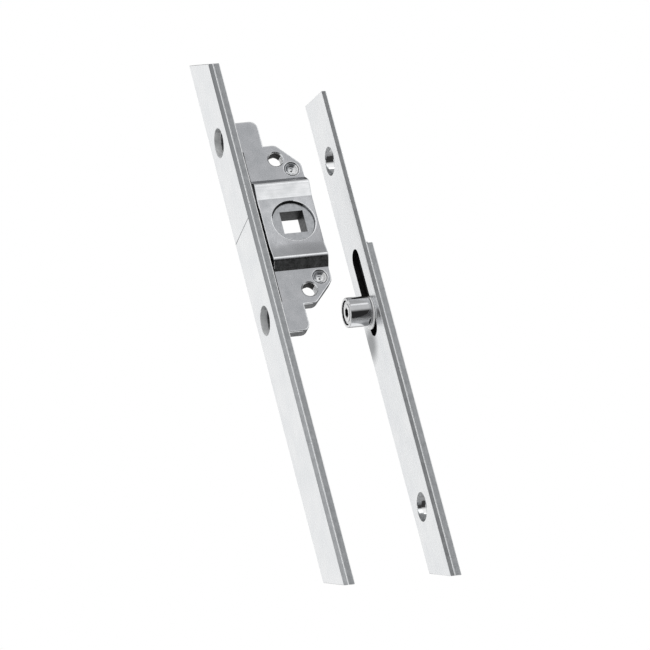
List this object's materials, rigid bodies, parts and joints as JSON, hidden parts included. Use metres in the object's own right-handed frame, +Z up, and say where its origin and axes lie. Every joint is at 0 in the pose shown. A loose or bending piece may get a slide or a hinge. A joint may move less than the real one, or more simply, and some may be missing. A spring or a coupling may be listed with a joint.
{
  "type": "window espagnolette",
  "caption": "Length of window espagnolette: faceplates with sliding drive rods, a rack and pinion gear case for a square spindle, and a locking end with an eccentric roller cam.",
  "frame": {"origin": "on the spindle axis, midway between the two handle screw holes and in the middle of the gear case's thickness", "axes": "+X along the spindle towards the handle, +Y from the faceplates' front faces into the sash, +Z up along the bars"},
  "size_m": [0.016, 0.0362, 0.1796],
  "materials": {
    "faceplate_plating": "bright zinc plated, smooth",
    "rod_plating": "bright zinc plated strip with sheared edges",
    "gear_steel": "sintered steel, zinc plated",
    "rivet_steel": "satin zinc plated",
    "case_zinc": "die-cast zinc, satin zinc plated",
    "bush_zinc": "satin zinc plated",
    "pin_steel": "polished steel",
    "spring_steel": "dark spring steel"
  },
  "bodies": {
    "fixed_lengths": {"faceplate_gear_length": "faceplate_plating", "case_shell_front": "case_zinc", "case_shell_back": "case_zinc", "case_rivets": "rivet_steel", "case_studs": "bush_zinc", "follower_spring_washer": "spring_steel", "faceplate_locking_length": "faceplate_plating", "upper_screw_bush": "bush_zinc", "lower_screw_bush": "bush_zinc", "rod_retaining_washer": "spring_steel"},
    "gear_rod": {"drive_rod_gear_length": "rod_plating", "rack": "gear_steel", "rack_rivets": "rivet_steel"},
    "follower": {"follower_pinion": "gear_steel"},
    "locking_rod": {"drive_rod_locking_length": "rod_plating", "cam_bush": "bush_zinc"},
    "cam_pin": {"cam_pin": "pin_steel", "cam_spring_washer": "spring_steel", "cam_washer": "pin_steel", "roller_retaining_ring": "spring_steel"},
    "cam_roller": {"cam_roller": "pin_steel"}
  },
  "joints": [
    {"name": "gear_rod_slide", "type": "slide", "parent": "fixed_lengths", "child": "gear_rod", "axis": [0, 0, 1], "range_m": [0, 0.01649]},
    {"name": "follower_turn", "type": "hinge", "parent": "fixed_lengths", "child": "follower", "pos_m": [0, 0, 0], "axis": [1, 0, 0], "range_deg": [-90.1, 0]},
    {"name": "locking_rod_slide", "type": "slide", "parent": "fixed_lengths", "child": "locking_rod", "axis": [0, 0, 1], "range_m": [0, 0.01649]},
    {"name": "cam_adjust", "type": "hinge", "parent": "locking_rod", "child": "cam_pin", "pos_m": [0, 0.019, -0.0303], "axis": [0, 1, 0], "range_deg": [-90, 90]},
    {"name": "roller_spin", "type": "hinge", "parent": "cam_pin", "child": "cam_roller", "pos_m": [0, 0.0128, -0.0295], "axis": [0, 1, 0], "continuous": true}
  ],
  "couplings": [
    {"joint": "follower_turn", "follows": "gear_rod_slide", "rad_per_m": -95.238},
    {"joint": "locking_rod_slide", "follows": "gear_rod_slide", "ratio": 1}
  ]
}
